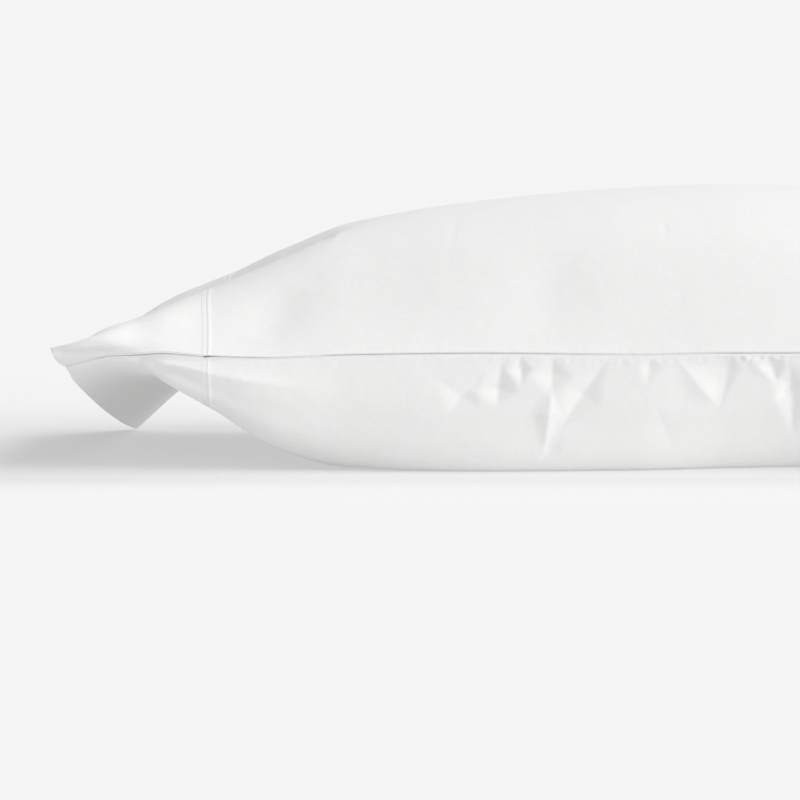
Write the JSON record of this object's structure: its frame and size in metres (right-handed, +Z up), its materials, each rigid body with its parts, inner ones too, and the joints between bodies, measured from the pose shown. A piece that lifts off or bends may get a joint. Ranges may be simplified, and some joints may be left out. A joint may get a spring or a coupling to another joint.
{
  "type": "pillowcase",
  "caption": "Filled pillowcase lying flat, a crowned body with straight side seams and a deep turned hem round an open, slightly drooping mouth.",
  "frame": {"origin": "bottom centre of the bounding box, on the surface the pillowcase lies on", "axes": "+X along the length, from the open mouth to the closed end; +Y across, from the near side seam to the far one; +Z up"},
  "size_m": [0.7359, 0.475, 0.19],
  "materials": {
    "percale": "crisp matt white cotton percale, fine plain weave"
  },
  "bodies": {
    "root": {"top_panel": "percale", "bottom_panel": "percale"}
  },
  "joints": []
}
